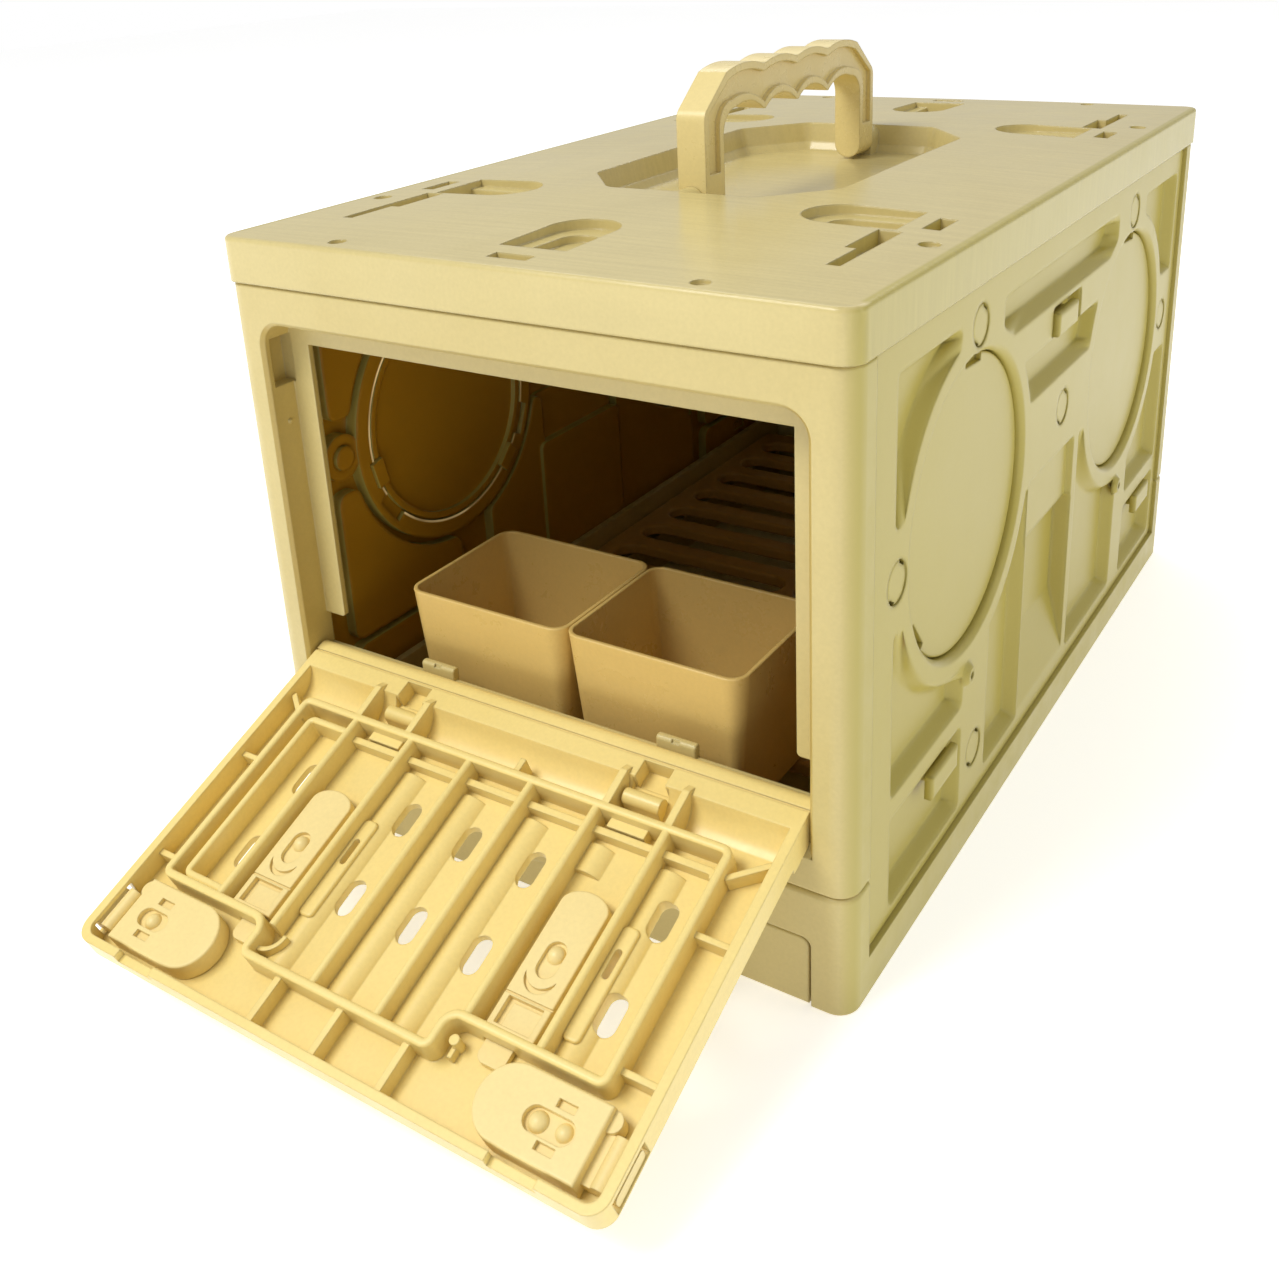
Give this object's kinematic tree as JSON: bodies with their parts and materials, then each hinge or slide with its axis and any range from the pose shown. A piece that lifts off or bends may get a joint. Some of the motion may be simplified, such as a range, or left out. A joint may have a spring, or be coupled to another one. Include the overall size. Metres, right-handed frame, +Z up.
{
  "type": "parrot carrier",
  "caption": "Box-shaped bird carrier with a drop-down front door, fold-flat top handle, round side hatches, slide-out tray and feed cups.",
  "frame": {"origin": "centre of the flat underside of the base, where the carrier stands", "axes": "+Y from the door end to the back, +X to the right seen from the door, +Z up"},
  "size_m": [0.2212, 0.462, 0.2535],
  "materials": {
    "shell_plastic": "moulded, satin gloss, pale cream yellow",
    "side_plastic": "moulded, satin gloss, pale cream yellow",
    "hatch_plastic": "moulded, satin gloss, translucent at thin edges",
    "lid_plastic": "moulded, fine drawn grain on top",
    "door_plastic": "moulded, satin gloss",
    "latch_plastic": "moulded, satin gloss, slightly paler",
    "handle_plastic": "moulded, satin gloss",
    "cup_plastic": "thin moulded, glossy",
    "tray_plastic": "moulded, satin gloss",
    "pin_steel": "drawn wire"
  },
  "bodies": {
    "shell": {"base_tub": "shell_plastic", "front_frame": "shell_plastic", "rear_frame": "shell_plastic", "rear_panel": "shell_plastic", "side_panel_left": "side_plastic", "side_panel_right": "side_plastic", "side_plugs_left": "side_plastic", "side_plugs_right": "side_plastic", "strap_hooks_left": "side_plastic", "strap_hooks_right": "side_plastic"},
    "tray": {"waste_tray": "tray_plastic"},
    "grille": {"floor_grille": "tray_plastic"},
    "cup_left": {"feed_cup_left": "cup_plastic"},
    "cup_right": {"feed_cup_right": "cup_plastic"},
    "lid": {"lid": "lid_plastic", "handle_pins": "pin_steel"},
    "handle": {"handle": "handle_plastic"},
    "door": {"door": "door_plastic", "door_hinge_pins": "pin_steel"},
    "latch_left": {"door_latch_left": "latch_plastic"},
    "latch_right": {"door_latch_right": "latch_plastic"},
    "lock_left": {"slide_lock_left": "latch_plastic"},
    "lock_right": {"slide_lock_right": "latch_plastic"},
    "hatch_left_front": {"hatch_left_front": "hatch_plastic"},
    "hatch_left_rear": {"hatch_left_rear": "hatch_plastic"},
    "hatch_right_front": {"hatch_right_front": "hatch_plastic"},
    "hatch_right_rear": {"hatch_right_rear": "hatch_plastic"}
  },
  "joints": [
    {"name": "door_hinge", "type": "hinge", "parent": "shell", "child": "door", "pos_m": [0, -0.17116, 0.0638], "axis": [-1, 0, 0], "range_deg": [0, 111.75]},
    {"name": "latch_left_slide", "type": "slide", "parent": "door", "child": "latch_left", "axis": [-1, 0, 0], "range_m": [0, 0.004]},
    {"name": "latch_right_slide", "type": "slide", "parent": "door", "child": "latch_right", "axis": [1, 0, 0], "range_m": [0, 0.004]},
    {"name": "lock_left_slide", "type": "slide", "parent": "door", "child": "lock_left", "axis": [0, 0.9288, 0.3706], "range_m": [0, 0.005]},
    {"name": "lock_right_slide", "type": "slide", "parent": "door", "child": "lock_right", "axis": [0, 0.9288, 0.3706], "range_m": [0, 0.005]},
    {"name": "tray_slide", "type": "slide", "parent": "shell", "child": "tray", "axis": [0, -1, 0], "range_m": [0, 0.07]},
    {"name": "grille_lift", "type": "slide", "parent": "shell", "child": "grille", "axis": [0, 0, 1], "range_m": [0, 0.05]},
    {"name": "cup_left_lift", "type": "slide", "parent": "grille", "child": "cup_left", "axis": [0, 0, 1], "range_m": [0, 0.05]},
    {"name": "cup_right_lift", "type": "slide", "parent": "grille", "child": "cup_right", "axis": [0, 0, 1], "range_m": [0, 0.05]},
    {"name": "lid_lift", "type": "slide", "parent": "shell", "child": "lid", "axis": [0, 0, 1], "range_m": [0, 0.08]},
    {"name": "handle_fold", "type": "hinge", "parent": "lid", "child": "handle", "pos_m": [0, 0, 0.211], "axis": [0, 1, 0], "range_deg": [-90, 90]},
    {"name": "hatch_left_front_twist", "type": "hinge", "parent": "shell", "child": "hatch_left_front", "pos_m": [-0.104, -0.088, 0.127], "axis": [1, 0, 0], "range_deg": [0, 22]},
    {"name": "hatch_left_rear_twist", "type": "hinge", "parent": "shell", "child": "hatch_left_rear", "pos_m": [-0.104, 0.088, 0.127], "axis": [1, 0, 0], "range_deg": [0, 22]},
    {"name": "hatch_right_front_twist", "type": "hinge", "parent": "shell", "child": "hatch_right_front", "pos_m": [0.104, -0.088, 0.127], "axis": [1, 0, 0], "range_deg": [0, 22]},
    {"name": "hatch_right_rear_twist", "type": "hinge", "parent": "shell", "child": "hatch_right_rear", "pos_m": [0.104, 0.088, 0.127], "axis": [1, 0, 0], "range_deg": [0, 22]}
  ]
}
